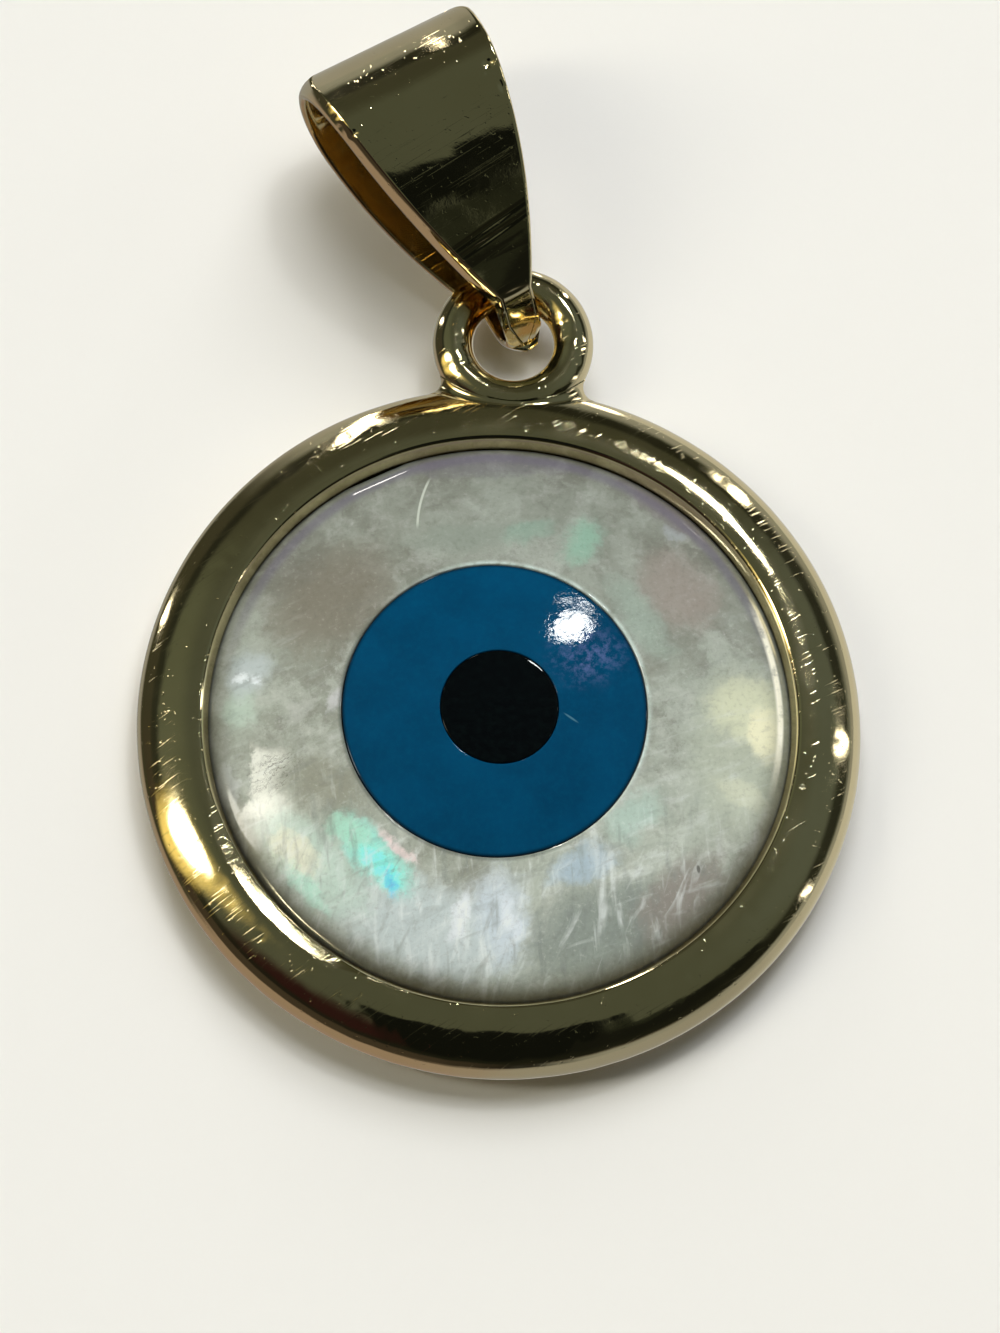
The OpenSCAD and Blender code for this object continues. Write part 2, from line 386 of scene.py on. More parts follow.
def make_shell_disc():
    """Recess for the iris, dome, shoulder, side and flat underside. The recess is round about its own
    centre, and the dome blends from its edge to the disc's own. A flat is ground into the shoulder."""
    crown = crown_radius(STONE_R, STONE_H - STONE_SIDE_H, STONE_SHOULDER_R)
    shoulder = np.array([STONE_R - STONE_SHOULDER_R, STONE_Z + STONE_SIDE_H])
    seam_r = crown * (STONE_R - STONE_SHOULDER_R) / (crown - STONE_SHOULDER_R)
    seam = 90 - np.degrees(np.arcsin(seam_r / crown))
    dome_r = np.linspace(IRIS_R + 0.008, seam_r, 60)
    recess = np.vstack([
        line((0.2, INLAY_Z), (IRIS_R - 0.05, INLAY_Z), 3),
        line((IRIS_R, INLAY_Z), (IRIS_R, dome_z(IRIS_R, 0) - 0.02), 4),
    ])
    outside = np.vstack([
        arc(shoulder, STONE_SHOULDER_R, seam, 0, 12)[1:],
        line((STONE_R, STONE_Z + STONE_SIDE_H), (STONE_R, STONE_Z + 0.02), 3),
        line((STONE_R - 0.03, STONE_Z), (0.2, STONE_Z), 6),
    ])
    spread = np.linspace(1, 0, len(dome_r))[:, None] * IRIS_X
    dome = turned(np.stack([dome_r, 0 * dome_r], -1), STONE_STEPS, spread)
    dome[..., 2] = dome_z(dome[..., 0], dome[..., 1])
    grid = np.concatenate([turned(recess, STONE_STEPS, IRIS_X), dome, turned(outside, STONE_STEPS)])
    aside = np.arctan2(grid[..., 1], grid[..., 0]) - FACET_AT
    cut = np.cos(FACET_REACH) / np.cos(np.clip(aside, -FACET_REACH, FACET_REACH))
    cut = 1 - (1 - cut) * np.clip((np.hypot(grid[..., 0], grid[..., 1]) - 5.0) / 0.5, 0, 1)
    grid[..., :2] *= cut[..., None]
    return skin("mother_of_pearl", grid)


def make_iris():
    """The blue ring: its walls are round about different centres, and its top follows the eye's dome,
    with a fine rounding at both edges."""
    outer, inner = IRIS_R - INLAY_GAP, PUPIL_R
    share = np.concatenate([[0, 0, 0.004], np.linspace(0.012, 0.988, 36), [0.996, 1, 1]])
    drop = np.zeros(len(share))
    drop[[1, -2]], drop[[2, -3]] = INLAY_EASE, INLAY_EASE * 0.3
    angle = round_about(STONE_STEPS)
    radius = inner + (outer - inner) * share[:, None]
    shift = PUPIL_X + (IRIS_X - PUPIL_X) * share[:, None]
    x, y = shift + radius * np.cos(angle), radius * np.sin(angle)
    z = dome_z(x, y) - drop[:, None]
    z[[0, -1]] = INLAY_Z + INLAY_GAP
    return skin("blue_iris", np.stack([x, y, z], -1), tube=True)


def make_pupil():
    """The black disc: flat underneath, an upright side, a fine rounding and a top that follows the dome."""
    share = np.concatenate([[0.1, 1, 1, 0.992], np.linspace(0.98, 0.06, 16)])
    drop = np.zeros(len(share))
    drop[2], drop[3] = INLAY_EASE, INLAY_EASE / 3
    angle = round_about(240)
    radius = (PUPIL_R - INLAY_GAP) * share[:, None]
    x, y = PUPIL_X + radius * np.cos(angle), radius * np.sin(angle)
    z = dome_z(x, y) - drop[:, None]
    z[:2] = INLAY_Z + INLAY_GAP
    return skin("black_pupil", np.stack([x, y, z], -1))


def bail_side_view(steps):
    """Middle line of the strip seen from the side, and its outward direction: the bend round the wire,
    the bowed front leaf, the top bend and the back leaf, as tangent arcs."""
    span = BAIL_L - TIP_BEND_R - TOP_BEND_R
    leaf_r = arc_radius(np.hypot(span, TOP_BEND_R - TIP_BEND_R), LEAF_BOW)
    tip, top = leaf_r - TIP_BEND_R, leaf_r - TOP_BEND_R
    along = (tip ** 2 - top ** 2 + span ** 2) / (2 * span)
    mid = np.array([TIP_BEND_R + along, -np.sqrt(tip ** 2 - along ** 2)])
    tip_angle = np.degrees(np.arctan2(-mid[1], TIP_BEND_R - mid[0]))
    top_angle = np.degrees(np.arctan2(-mid[1], BAIL_L - TOP_BEND_R - mid[0]))
    half = STRIP_T / 2
    front = np.vstack([
        arc((TIP_BEND_R, 0), TIP_BEND_R - half, 180, tip_angle, 200),
        arc(mid, leaf_r - half, tip_angle, top_angle, 400)[1:],
        arc((BAIL_L - TOP_BEND_R, 0), TOP_BEND_R - half, top_angle, 0, 200)[1:],
    ])
    middle = np.vstack([front, front[-2:0:-1] * [1, -1]])
    step = np.roll(middle, -1, 0) - middle
    place = np.concatenate([[0], np.cumsum(np.hypot(*step.T))])
    front_steps = int(steps * 0.73)
    even = np.concatenate([np.linspace(0, place[-1] / 2, front_steps, endpoint=False),
                           np.linspace(place[-1] / 2, place[-1], steps - front_steps, endpoint=False)])
    looped = np.vstack([middle, middle[:1]])
    middle = np.stack([np.interp(even, place, looped[:, 0]), np.interp(even, place, looped[:, 1])], -1)
    ahead = np.roll(middle, -1, 0) - np.roll(middle, 1, 0)
    outward = np.stack([-ahead[:, 1], ahead[:, 0]], -1)
    return middle, outward / np.linalg.norm(outward, axis=1)[:, None]


def bail_half_width(y):
    """Half the strip's width along the bail: a round-ended neck, a bowed edge and a rounded corner."""
    run, rise = BAIL_L - CORNER_R - NECK_L, (TOP_W - NECK_W) / 2
    chord = np.hypot(run, rise)
    radius = arc_radius(chord, EDGE_BOW)
    back = radius - EDGE_BOW
    centre = np.array([NECK_L + run / 2 + back * rise / chord, (NECK_W + TOP_W) / 4 - back * run / chord])
    edge = centre[1] + np.sqrt(radius ** 2 - (y - centre[0]) ** 2)
    neck = np.sqrt(np.clip((NECK_W / 2) ** 2 - np.clip(NECK_W / 2 - y, 0, NECK_W / 2) ** 2, 0, None))
    past = np.clip(y - (BAIL_L - CORNER_R), 0, CORNER_R)
    corner = TOP_W / 2 - CORNER_R + np.sqrt(CORNER_R ** 2 - past ** 2)
    return np.where(y < NECK_L, neck, np.where(past > 0, corner, edge))


def strip_section(outside, inside):
    """Round the strip's section, from -1 to 1 across and through, and how far each point is into a rounded
    edge, as the sine and cosine of its arc."""
    turn = np.radians(np.linspace(0, 90, 6))
    one = np.ones(6)
    across = np.concatenate([np.linspace(-1, 1, outside), one, one, np.linspace(1, -1, inside), -one, -one])
    through = np.concatenate([np.ones(outside + 6), -one, -np.ones(inside), -one, one])
    up, down = np.sin(turn), np.cos(turn)
    side = np.concatenate([np.zeros(outside), up, up[::-1], np.zeros(inside), up, up[::-1]])
    face = np.concatenate([np.ones(outside), down, down[::-1], np.ones(inside), down, down[::-1]])
    return across, through, side, face


def spin(angle, first, second):
    """A rotation that turns one axis towards another."""
    turn = np.eye(3)
    turn[first, first] = turn[second, second] = np.cos(angle)
    turn[second, first], turn[first, second] = np.sin(angle), -np.sin(angle)
    return turn


def bail_pose():
    """Rotation and place of the bail, which hangs on the wire."""
    turn = spin(BAIL_LEAN, 0, 1) @ spin(BAIL_PITCH, 1, 2) @ spin(BAIL_ROLL, 2, 0)
    hang = STRIP_T + BAIL_SLACK + WIRE_R
    crossing = LOOP_R * np.array([-np.sin(BAIL_CROSSING), np.cos(BAIL_CROSSING)])
    return turn, crossing + [0, LOOP_Y] - hang * turn[:2, 1]


def make_bail():
    """The strip's rounded section carried round its side view, as wide at each point as the strip is there.
    Above the neck the front is rolled a little to the left, with a bevel at that side. Shallow dents and
    creases press into it, and its tip is thinned and cut flat."""
    middle, outward = bail_side_view(600)
    across, through, side, face = strip_section(108, 30)
    half = STRIP_T / 2
    left = (across < 0) & (through > 0)
    bevel_w, bevel_h = np.where(left, BEVEL_W, STRIP_EDGE_R), np.where(left, BEVEL_H, STRIP_EDGE_R)
    straight, both = np.where(left, BEVEL_STRAIGHT, 0), side + face
    side, face = (part + straight * (part / both - part) for part in (side, face))
    depth = through * (half - bevel_h + bevel_h * face)
    y = middle[:, :1] + outward[:, :1] * depth
    z = middle[:, 1:] + outward[:, 1:] * depth
    width = bail_half_width(np.clip(y, 0, BAIL_L))
    edge = np.minimum(bevel_w, width / 2)
    x = across * (width - edge) + np.sign(across) * edge * side
    grid = np.stack([x, y, z], -1)
    dent = sum(ripple(grid, *wave) for wave in BAIL_WAVES) * np.clip(outward[:, 1:] * 1.5 - 0.5, 0, 1)
    front = (through > 0) * (z > 0)
    for dx, dy, wide, long, turn, deep in BAIL_DENTS:
        cos, sin = np.cos(np.radians(turn)), np.sin(np.radians(turn))
        aside, along = (x - dx) * cos + (y - dy) * sin, (y - dy) * cos - (x - dx) * sin
        dent -= deep * np.exp(-(aside / wide) ** 2 - (along / long) ** 2) * front
    facing = np.clip(outward[:, 1:], 0, 1)
    thinned = np.minimum(np.clip(TIP_L - y, 0, None) ** 2 / (2 * TIP_FALL_R), TIP_THIN)
    dent = np.minimum(dent - BAIL_SMOOTH, 0) * through - thinned * facing * (through > 0)
    above_neck = np.clip((y - 0.9) / 1.1, 0, 1)
    dent += (x * np.tan(LEAF_ROLL) - LEAF_EASE) * facing * above_neck
    grid[..., 1] += dent * outward[:, :1]
    grid[..., 2] += dent * outward[:, 1:]
    tilt = np.radians(TIP_CUT_TILT)
    cut_y, cut_z = TIP_CUT_AT
    over = (cut_y - grid[..., 1]) * np.sin(tilt) + (grid[..., 2] - cut_z) * np.cos(tilt)
    over = TIP_CUT_BLEND * np.logaddexp(0, np.clip(over / TIP_CUT_BLEND, -30, 60)) * front
    grid[..., 1] += over * np.sin(tilt)
    grid[..., 2] -= over * np.cos(tilt)
    turn, place = bail_pose()
    grid = grid @ turn.T
    grid[..., :2] += place
    grid[..., 2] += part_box("bail")[0][2] / MM - grid[..., 2].min()
    piece = skin("bail_strip", grid, tube=True)
    hidden = (through < 0) | (0 * through + middle[:, 1:] < 0)
    piece.data.polygons.foreach_set("material_index", hidden.ravel().astype(int).tolist())
    return piece


# Unevenness of the metal, as wavelength, depth and seed
RIM_WAVES = ((3.4, 0.004, 3), (1.1, 0.0028, 4))
RIM_HAMMERING = ((0.62, 0.007, 5),)
LOOP_WAVES = ((1.3, 0.010, 8), (0.5, 0.006, 9))
BAIL_WAVES = ((1.9, 0.009, 21), (0.8, 0.002, 5), (0.42, 0.0006, 6))
# How much unevenness of the bail is lost in its polish
BAIL_SMOOTH = 0.008

# Dents and creases of the bail's front leaf: across, along, half sizes across and along, turn and depth
BAIL_DENTS = [
    (1.3, 6.83, 0.54, 0.4, 0, 0.04), (0.4, 5.42, 0.26, 0.07, 8, 0.01), (0, 5.29, 0.14, 0.05, 15, 0.008),
    (-1.22, 5.41, 0.14, 0.07, 20, 0.009), (-1.75, 6.2, 0.1, 0.08, 0, 0.012),
    (-1.82, 5.95, 0.07, 0.07, 0, 0.024), (-1.64, 5.66, 0.1, 0.1, 0, 0.036),
    (1.56, 5.7, 0.11, 0.11, 0, 0.04), (1.6, 5.12, 0.07, 0.12, 0, 0.028), (1.44, 5.52, 0.05, 0.05, 0, 0.014),
    (0.05, 2.64, 1.2, 0.055, 10, 0.015), (0.03, 2.42, 1.1, 0.05, 10, 0.017),
    (0, 2.12, 0.5, 0.04, 10, 0.006), (0, 1.22, 0.26, 0.05, 0, 0.01), (-0.35, 3.5, 0.3, 0.12, -8, 0.002),
]

# Dents of the rim: place, radius and depth
RIM_DENTS = [
    (6.9, -2.9, 1.3, 0.10, 0.006), (6.2, -3.6, 1.4, 0.08, 0.005), (-3.4, 6.0, 1.3, 0.12, 0.006),
    (-1.2, -6.9, 1.4, 0.10, 0.008), (1.5, -6.8, 1.4, 0.12, 0.008), (5.2, 4.6, 1.3, 0.09, 0.006),
]

bezel_rim = make_bezel()
loop = make_loop()
solder = make_solder()
shell = make_shell_disc()
iris = make_iris()
pupil = make_pupil()
bail = make_bail()


class Finish:
    """The nodes of a material or of another owner, each added with its inputs in one call."""

    def __init__(self, name, owner=None):
        self.material = owner or bpy.data.materials.new(name)
        self.material.use_nodes = True
        self.tree = self.material.node_tree
        if owner is None:
            self.shader = self.tree.nodes["Principled BSDF"]
            self.place = self.node("ShaderNodeTexCoord").outputs["Object"]

    def node(self, kind, settings=None, **inputs):
        """A new node. An input is named by its socket, with _ for a space, or by i and its number."""
        made = self.tree.nodes.new(kind)
        for key, value in (settings or {}).items():
            setattr(made, key, value)
        for key, value in inputs.items():
            numbered = key[0] == "i" and key[1:].isdigit()
            self.set(made.inputs[int(key[1:]) if numbered else key.replace("_", " ")], value)
        return made

    def set(self, socket, value):
        if isinstance(value, bpy.types.NodeSocket):
            self.tree.links.new(value, socket)
        else:
            socket.default_value = value

    def give(self, **inputs):
        """Inputs of the shader, each a constant or what another node gives."""
        for key, value in inputs.items():
            self.set(self.shader.inputs[key.replace("_", " ")], value)

    def within(self, vector, at, turn, size):
        """A vector in a frame with its own origin, turn about Z and unit lengths."""
        return self.node("ShaderNodeMapping", {"vector_type": "TEXTURE"}, Vector=vector, Location=at,
                         Rotation=(0, 0, turn), Scale=size).outputs[0]

    def shift(self, at=(0, 0, 0), turn=0.0, size=(1, 1, 1)):
        """Object coordinates in such a frame, given in millimetres."""
        return self.within(self.place, [q * MM for q in at], turn, [q * MM for q in size])

    def noise(self, size, detail=3.0, rough=0.5, distort=0.0, vector=None, out="Fac"):
        """Cloudy noise of one size in millimetres, or of one scale over a given vector."""
        scale = 1 / (size * MM) if vector is None else size
        return self.node("ShaderNodeTexNoise", Vector=vector or self.place, Scale=scale, Detail=detail,
                         Roughness=rough, Distortion=distort).outputs[out]

    def ramp(self, value, low, high, start=0.0, end=1.0):
        """A value spread smoothly from one range to another and held at its ends."""
        return self.node("ShaderNodeMapRange", {"interpolation_type": "SMOOTHSTEP"}, Value=value, From_Min=low,
                         From_Max=high, To_Min=start, To_Max=end).outputs[0]

    def math(self, how, a, b=0.0):
        return self.node("ShaderNodeMath", {"operation": how}, i0=a, i1=b).outputs[0]

    def times(self, product, *parts):
        for part in parts:
            product = self.math("MULTIPLY", product, part)
        return product

    def band(self, value, foot, full, over, end):
        """1 where a value lies from full to over, fading to 0 at its foot and at its end."""
        return self.times(self.ramp(value, foot, full), self.ramp(value, end, over))

    def vector(self, how, *parts, out=0):
        inputs = {f"i{number}": part for number, part in enumerate(parts)}
        return self.node("ShaderNodeVectorMath", {"operation": how}, **inputs).outputs[out]

    def scaled(self, vector, by):
        return self.node("ShaderNodeVectorMath", {"operation": "SCALE"}, i0=vector, Scale=by).outputs[0]

    def length(self, vector):
        return self.vector("LENGTH", vector, out="Value")

    def axes(self, vector):
        return self.node("ShaderNodeSeparateXYZ", Vector=vector).outputs

    def shaken(self, vector, cloud, reach):
        """A vector pushed about by a noise's colour, by up to half its reach to each side."""
        pushed = self.vector("MULTIPLY_ADD", cloud, reach, vector)
        return self.vector("SUBTRACT", pushed, [q / 2 for q in reach])

    def far(self, at=(0, 0), turn=0.0, half=(1, 1)):
        """Distance from a place seen from above, counted in half sizes along turned axes."""
        return self.length(self.shift((*at, 0), turn, (*half, ANY_HEIGHT)))

    def mix(self, share, a, b, how="MIX"):
        """Two colours mixed by a share."""
        made = self.node("ShaderNodeMix", {"data_type": "RGBA", "blend_type": how}, i0=share)
        for number, colour in ((6, a), (7, b)):
            self.set(made.inputs[number], colour if isinstance(colour, bpy.types.NodeSocket) else (*colour, 1))
        return made.outputs[2]

    def bump(self, height, depth, strength=1.0, under=None):
        """A bump of a given depth in millimetres, over another bump if one is given."""
        made = self.node("ShaderNodeBump", Height=height, Distance=depth * MM, Strength=strength)
        if under is not None:
            self.set(made.inputs["Normal"], under)
        return made.outputs[0]

    def spot(self, at, size, turn=0.0, wobble=0.6, seed=0.0, soft=0.9):
        """A soft patch, 1 in its middle and 0 outside, whose outline is broken up by noise."""
        vector = self.shift(at, turn, size)
        cloud = self.noise(1.3 + seed, 4, 0.6, vector=vector, out="Color")
        return self.ramp(self.length(self.shaken(vector, cloud, (wobble,) * 3)), 1.0, 1.0 - soft)


def seen(red, green, blue):
    """A colour given as a screen shows it, from 0 to 255 a channel, as shares of light."""
    share = np.array([red, green, blue]) / 255
    return tuple(np.where(share > 0.04045, ((share + 0.055) / 1.055) ** 2.4, share / 12.92).tolist())


# Colours of the plating as shares of light, each paler and deeper, and the tone of a painted reflection
GOLD = ((0.90, 0.78, 0.49), (0.86, 0.74, 0.45))
# Painted shade: a deeper copy of the gold for the bail's inside
SHADED_GOLD_INSIDE = ((0.84, 0.70, 0.40), (0.50, 0.38, 0.19))
PAINTED_REFLECTION_TONE = (0.42, 0.20, 0.03)
# The painted reflection on the loop, at the left of the bail's bend, where the wire mirrors the bail's golden
# back: middle and half sizes
LOOP_PAINTED_REFLECTION = ((-0.85, LOOP_Y + 0.75, LOOP_Z), (0.42, 0.75, 0.9))
HAZE = (0.05, 0.13)
BAIL_HAZE = (0.03, 0.09)


def gold_finish(name, wave, scratch, tones=GOLD, painted_reflection=None, haze=HAZE):
    """Polished gold plating: warm metal with faint cloudiness, waves of a given length, fine mottles,
    scratches of a given depth and tiny pits. A painted reflection can turn one place orange brown."""
    f = Finish(name)
    tint = f.mix(f.ramp(f.noise(2.5, 4, 0.6), 0.35, 0.7), tones[1], tones[0])
    if painted_reflection:
        # Painted reflection: an orange brown place where the wire mirrors the bail's golden back
        tint = f.mix(f.spot(*painted_reflection, 0.0, 0.5, 0.3, 0.6), tint, PAINTED_REFLECTION_TONE)
    rolling = f.bump(f.noise(0.4, 4, 0.6), 0.0016, 1.0, f.bump(f.noise(wave, 2, 0.5), 0.012))
    pitted = f.bump(f.ramp(f.noise(0.13, 2, 0.6), 0.66, 0.74), -0.002, 1.0, rolling)
    lines = f.noise(1.0, 2, vector=f.shift(turn=0.6, size=(1.6, 0.03, 1)))
    f.give(Base_Color=tint, Metallic=1.0, Roughness=f.ramp(f.noise(0.9, 5, 0.65), 0.3, 0.75, *haze),
           Normal=f.bump(f.ramp(lines, 0.62, 0.7), scratch, 0.5, pitted))
    return f.material


# Patches of the mother-of-pearl, a few of them painted shade or painted sheen: middle, half sizes, turn in
# degrees, soft share, strength and colour
PEARL_PATCHES = [
    ("brownish, left", (-3.6, 2.3), (2.0, 1.4), 40, 0.9, 0.9, (140, 135, 121)),
    ("brownish edge", (-4.3, 3.0), (1.0, 0.5), 45, 0.9, 0.5, (126, 124, 114)),
    ("pale band", (-0.9, 3.75), (1.6, 0.4), 8, 0.9, 0.45, (160, 174, 162)),
    ("pinkish mottles", (3.6, 2.9), (1.3, 1.0), -50, 0.9, 0.8, (176, 166, 158)),
    ("pale mint", (2.75, 2.2), (1.4, 0.6), -52, 0.9, 0.75, (172, 190, 178)),
    ("mint", (1.55, 3.8), (0.75, 0.5), 60, 1.0, 0.8, (168, 216, 194)),
    ("small mint", (0.5, 3.95), (0.8, 0.35), 25, 1.0, 0.55, (160, 198, 180)),
    ("bluish white", (3.5, 4.15), (0.35, 0.2), -35, 0.9, 0.8, (190, 197, 200)),
    # Painted shade: the two lavender bands below lie along the upper shoulder
    ("lavender", (3.3, 4.75), (1.8, 0.4), -36, 0.9, 0.6, (150, 140, 148)),
    ("lavender top", (-0.4, 5.55), (2.6, 0.35), 2, 0.9, 0.5, (140, 136, 150)),
    ("light", (5.0, -0.4), (1.4, 2.4), 0, 0.9, 0.7, (190, 198, 180)),
    ("cream", (5.1, 0.35), (0.95, 0.95), 0, 0.8, 0.85, (226, 230, 200)),
    ("cream glow", (5.45, -0.1), (0.45, 0.75), 8, 0.8, 0.9, (250, 248, 214)),
    ("lower cream", (5.0, -1.4), (0.8, 0.4), -25, 0.9, 0.7, (214, 218, 196)),
    ("grey", (2.2, -4.4), (2.1, 1.1), 25, 0.9, 0.9, (134, 143, 137)),
    ("pinkish", (3.8, -3.7), (1.5, 0.9), 50, 0.9, 0.9, (138, 132, 126)),
    ("pale mint", (2.8, -2.1), (0.95, 0.55), 45, 0.9, 0.8, (178, 202, 192)),
    ("light blue", (1.7, -3.2), (0.95, 0.5), 25, 0.9, 0.85, (172, 192, 206)),
    ("bluish bottom", (-1.3, -4.6), (2.5, 1.15), -14, 0.8, 0.95, (192, 204, 206)),
    ("bluish middle", (0.15, -4.3), (0.75, 1.3), 8, 0.9, 0.85, (202, 214, 224)),
    ("wisp", (-0.7, -4.35), (0.22, 0.8), -14, 0.9, 0.8, (226, 232, 238)),
    ("second wisp", (0.35, -4.3), (0.2, 0.7), 12, 0.9, 0.7, (222, 230, 238)),
    ("pale mint, left", (-3.7, -3.3), (1.9, 0.85), -46, 0.9, 0.9, (190, 212, 202)),
    ("mint streak", (-4.0, -3.6), (1.3, 0.22), -46, 0.9, 0.6, (176, 226, 208)),
    ("cream, left", (-4.15, -3.1), (0.8, 0.5), -30, 0.9, 0.85, (228, 228, 208)),
    ("greyish green", (-3.5, -1.65), (1.1, 0.55), -25, 0.9, 0.9, (146, 148, 134)),
    ("cyan", (-2.45, -3.15), (1.25, 0.55), -46, 0.8, 0.95, (160, 228, 216)),
    ("green fringe", (-3.0, -2.65), (0.7, 0.35), -30, 0.9, 0.8, (170, 220, 200)),
    ("cyan core", (-2.3, -3.45), (0.8, 0.34), -48, 0.9, 1.0, (140, 246, 236)),
    ("sky blue", (-2.1, -3.75), (0.42, 0.2), -62, 1.0, 0.95, (110, 210, 250)),
    ("pinkish fringe", (-2.0, -2.95), (0.75, 0.16), -44, 1.0, 0.9, (236, 218, 218)),
    ("mint, left", (-5.3, -0.05), (0.55, 0.7), 0, 0.9, 0.85, (192, 212, 198)),
    # Painted sheen: these three patches stand for the nacre reflecting a lamp
    ("bluish white, left", (-5.2, 0.75), (0.7, 0.6), 20, 0.9, 0.9, (198, 210, 212)),
    ("bright spot", (-5.38, 0.72), (0.26, 0.15), 25, 1.0, 1.0, (244, 252, 255)),
    ("second bright spot", (-5.0, 0.62), (0.26, 0.16), -20, 1.0, 1.0, (240, 248, 252)),
    ("whitish, inner", (-3.42, 0.05), (0.22, 0.34), 0, 0.9, 0.8, (208, 210, 212)),
    ("whitish", (-4.15, -0.1), (0.42, 0.26), 30, 0.9, 0.7, (186, 190, 184)),
    ("pale left edge", (-5.5, -1.8), (0.22, 0.85), 12, 0.9, 0.8, (212, 218, 216)),
]
# How far the outlines of these patches wander
PEARL_WOBBLE = 0.9 * MM

# Fibres of the mother-of-pearl: sizes across and along, turn, the heights in the view between which they
# grow from nothing, and strength
PEARL_FIBRES = [
    ((0.26, 1.5, 1), 0.12, (0.0, -3.5), 0.55),
    ((0.2, 1.0, 1), -0.35, (-1.5, -4.0), 0.4),
    ((1.1, 0.24, 1), 0.45, (4.0, -1.0), 0.3),
]


def pearl_mottles(f):
    """Clouds at three scales, in warm greys and whites."""
    base = f.mix(f.ramp(f.noise(2.6, 5, 0.62, 0.5), 0.36, 0.66), seen(142, 145, 134), seen(176, 184, 173))
    base = f.mix(f.ramp(f.noise(0.8, 6, 0.68, 0.4), 0.44, 0.70, 0.0, 0.6), base, seen(204, 210, 202))
    return f.mix(f.ramp(f.noise(0.5, 5, 0.7, 0.3), 0.50, 0.76, 0.0, 0.5), base, seen(118, 118, 108))


def pearl_patches(f, colour):
    """Patches of colour: ellipses that fade outwards and are eaten into by fine noise."""
    mottle = f.noise(0.3, 5, 0.7)
    for _, middle, half, turn, soft, share, tone in PEARL_PATCHES:
        whole = f.ramp(f.far(middle, np.radians(turn), half), 1.25, 1.25 - 1.1 * soft)
        eaten = f.ramp(f.math("ADD", whole, mottle), 0.66, 1.2, 0.15, 1.0)
        colour = f.mix(f.times(whole, eaten, share), colour, seen(*tone))
    return colour


def painted_sheen_flake(f, colour):
    """The whitish flake at the lower left, whose white is a painted sheen of the nacre: a sharp left edge,
    fading to the right, with dark cracks.
    """
    sides = f.axes(f.shift((-5.12, -1.55, 0), np.radians(-6), (1, 1, ANY_HEIGHT)))
    # Painted sheen: the flake's white stands for the nacre reflecting a lamp
    flake = f.times(f.band(sides["X"], -0.06, 0.03, 0.1, 1.05), f.band(sides["Y"], -0.95, -0.6, 0.5, 0.85), 0.9)
    colour = f.mix(flake, colour, seen(240, 242, 232))
    crack = f.noise(1.0, 3, 0.6, 1.2, vector=f.shift((-4.6, -1.5, 0), 0.55, (0.9, 0.1, ANY_HEIGHT)))
    off_crack = f.math("ABSOLUTE", f.math("SUBTRACT", crack, 0.5))
    near = f.ramp(f.far((-4.6, -1.45), 0.5, (0.75, 0.5)), 1.1, 0.6)
    return f.mix(f.times(f.ramp(off_crack, 0.022, 0.006), near, 0.7), colour, seen(96, 96, 84))


def pearl_fibres(f, colour, ways):
    """Fibres in three directions with darker and lighter strands, under a fine grain."""
    for size, turn, (low, high), strength in PEARL_FIBRES:
        fibre = f.noise(1.0, 3, 0.55, 0.5, vector=f.shift(turn=turn, size=size))
        where = f.ramp(ways["Y"], low, high, 0.0, strength)
        colour = f.mix(f.times(f.ramp(fibre, 0.46, 0.26), where), colour, seen(126, 134, 130))
        colour = f.mix(f.times(f.ramp(fibre, 0.54, 0.76), where), colour, seen(232, 238, 238))
    grain = f.noise(0.11, 4, 0.72)
    colour = f.mix(f.ramp(grain, 0.3, 0.5, 0.20, 0.0), colour, seen(96, 98, 90))
    return f.mix(f.ramp(grain, 0.55, 0.75, 0.0, 0.20), colour, seen(240, 242, 238)), grain


def pearl_edge(f, colour, ways):
    """Painted shade on the shoulder, darker towards the bottom, a painted lavender shade under the upper edge
    and a broken painted highlight, a cream line, at the right.
    """
    far = f.far()
    # Painted shade: the shoulder darkens where it turns away from the light, most at the bottom
    painted_shade = f.times(f.ramp(far, 5.35, 6.0), f.ramp(ways["Y"], 3.5, -4.0, 0.30, 0.85))
    colour = f.mix(painted_shade, colour, seen(76, 72, 54))
    # Painted shade: a lavender band on the upper shoulder
    painted_lavender_shade = f.times(f.band(far, 5.55, 5.72, 5.78, 5.9), f.ramp(ways["Y"], 0.5, 3.5, 0.0, 0.55))
    colour = f.mix(painted_lavender_shade, colour, seen(104, 98, 118))
    # Painted highlight: a cream line where the right shoulder catches the light, broken up by noise
    broken_painted_light = f.ramp(f.noise(0.35, 4, 0.7), 0.3, 0.55, 0.3, 1.0)
    right = f.times(f.ramp(ways["X"], 5.0, 5.5), f.ramp(ways["Y"], -1.6, 0.2))
    return f.mix(f.times(f.band(far, 5.68, 5.76, 5.82, 5.88), right, broken_painted_light), colour, (0.97, 0.95, 0.80))


def pearl_beside_iris(f, colour, ways):
    """A broken painted highlight round the iris's upper right, where the recess wall catches the light, and a
    painted shadow line round its lower left.
    """
    far = f.far((IRIS_X, 0))
    diagonal = f.math("ADD", ways["X"], ways["Y"])
    broken = f.ramp(f.noise(0.4, 4, 0.7), 0.35, 0.6, 0.35, 1.0)
    # Painted highlight on the lit recess wall at the upper right
    painted_highlight_line = f.times(f.ramp(far, IRIS_R + 0.13, IRIS_R + 0.02), f.ramp(diagonal, -0.5, 3.0, 0.0, 0.8), broken)
    colour = f.mix(painted_highlight_line, colour, seen(214, 232, 228))
    # Painted shadow at the recess's lower left
    painted_shade = f.times(f.ramp(far, IRIS_R + 0.10, IRIS_R + 0.02), f.ramp(diagonal, 0.5, -2.5, 0.0, 0.6))
    return f.mix(painted_shade, colour, seen(50, 62, 58))


